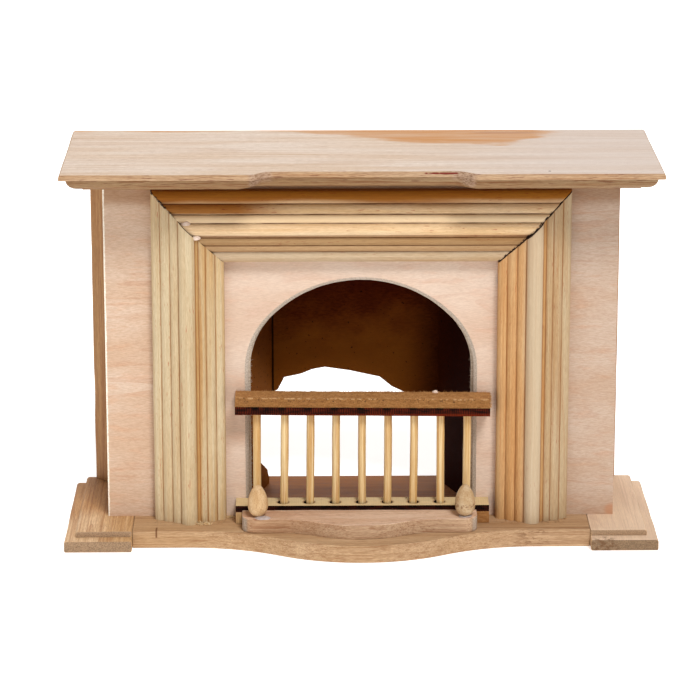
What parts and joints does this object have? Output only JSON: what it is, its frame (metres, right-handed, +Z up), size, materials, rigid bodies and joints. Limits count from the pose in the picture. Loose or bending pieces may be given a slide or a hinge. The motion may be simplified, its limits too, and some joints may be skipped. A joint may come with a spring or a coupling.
{
  "type": "miniature fireplace mantel",
  "caption": "Dolls' house fireplace: moulded shelf, arched panel with reeded mitred surround, firebox, barred grate, serpentine hearth with end blocks, fender and egg finials.",
  "frame": {"origin": "middle of the bounding box on the ground, under the base", "axes": "+Z up, -Y towards the viewer (the hearth's front), +X to the viewer's right along the shelf"},
  "size_m": [0.16, 0.06, 0.105],
  "materials": {
    "pine": "sanded bare pine, satin to matt",
    "moulding_pine": "bare moulded pine with streaky grain",
    "birch_plywood": "bare birch veneer, matt",
    "hearth_pine": "bare sanded pine, matt",
    "fibreboard": "dark brown hardboard, matt and fibrous",
    "rail_fibreboard": "brown fibreboard, fuzzy cut edges",
    "scorched_plywood": "laser-cut plywood with scorched edges",
    "bamboo": "smooth cocktail stick",
    "fender_beech": "bare pinkish wood with red-brown flecks",
    "turned_birch": "smooth turned bare wood"
  },
  "bodies": {
    "root": {"mantel_shelf": "pine", "front_panel": "birch_plywood", "firebox_frame": "fibreboard", "firebox_cheek_left": "fibreboard", "firebox_cheek_right": "fibreboard", "fireback": "fibreboard", "surround_left": "moulding_pine", "surround_top": "moulding_pine", "surround_right": "moulding_pine", "side_board_left": "pine", "side_board_right": "pine", "corner_strip_left": "moulding_pine", "corner_strip_right": "moulding_pine", "hearth_board": "hearth_pine", "plinth_left": "hearth_pine", "plinth_right": "hearth_pine", "grate_cap_rail": "rail_fibreboard", "grate_top_strip": "scorched_plywood", "grate_bottom_strip": "scorched_plywood", "grate_foot_left": "birch_plywood", "grate_foot_right": "rail_fibreboard", "grate_bar_1": "bamboo", "grate_bar_2": "bamboo", "grate_bar_3": "bamboo", "grate_bar_4": "bamboo", "grate_bar_5": "bamboo", "grate_bar_6": "bamboo", "grate_bar_7": "bamboo", "grate_bar_8": "bamboo", "grate_bar_9": "bamboo", "fender": "fender_beech", "finial_left": "turned_birch", "finial_right": "turned_birch"}
  },
  "joints": []
}
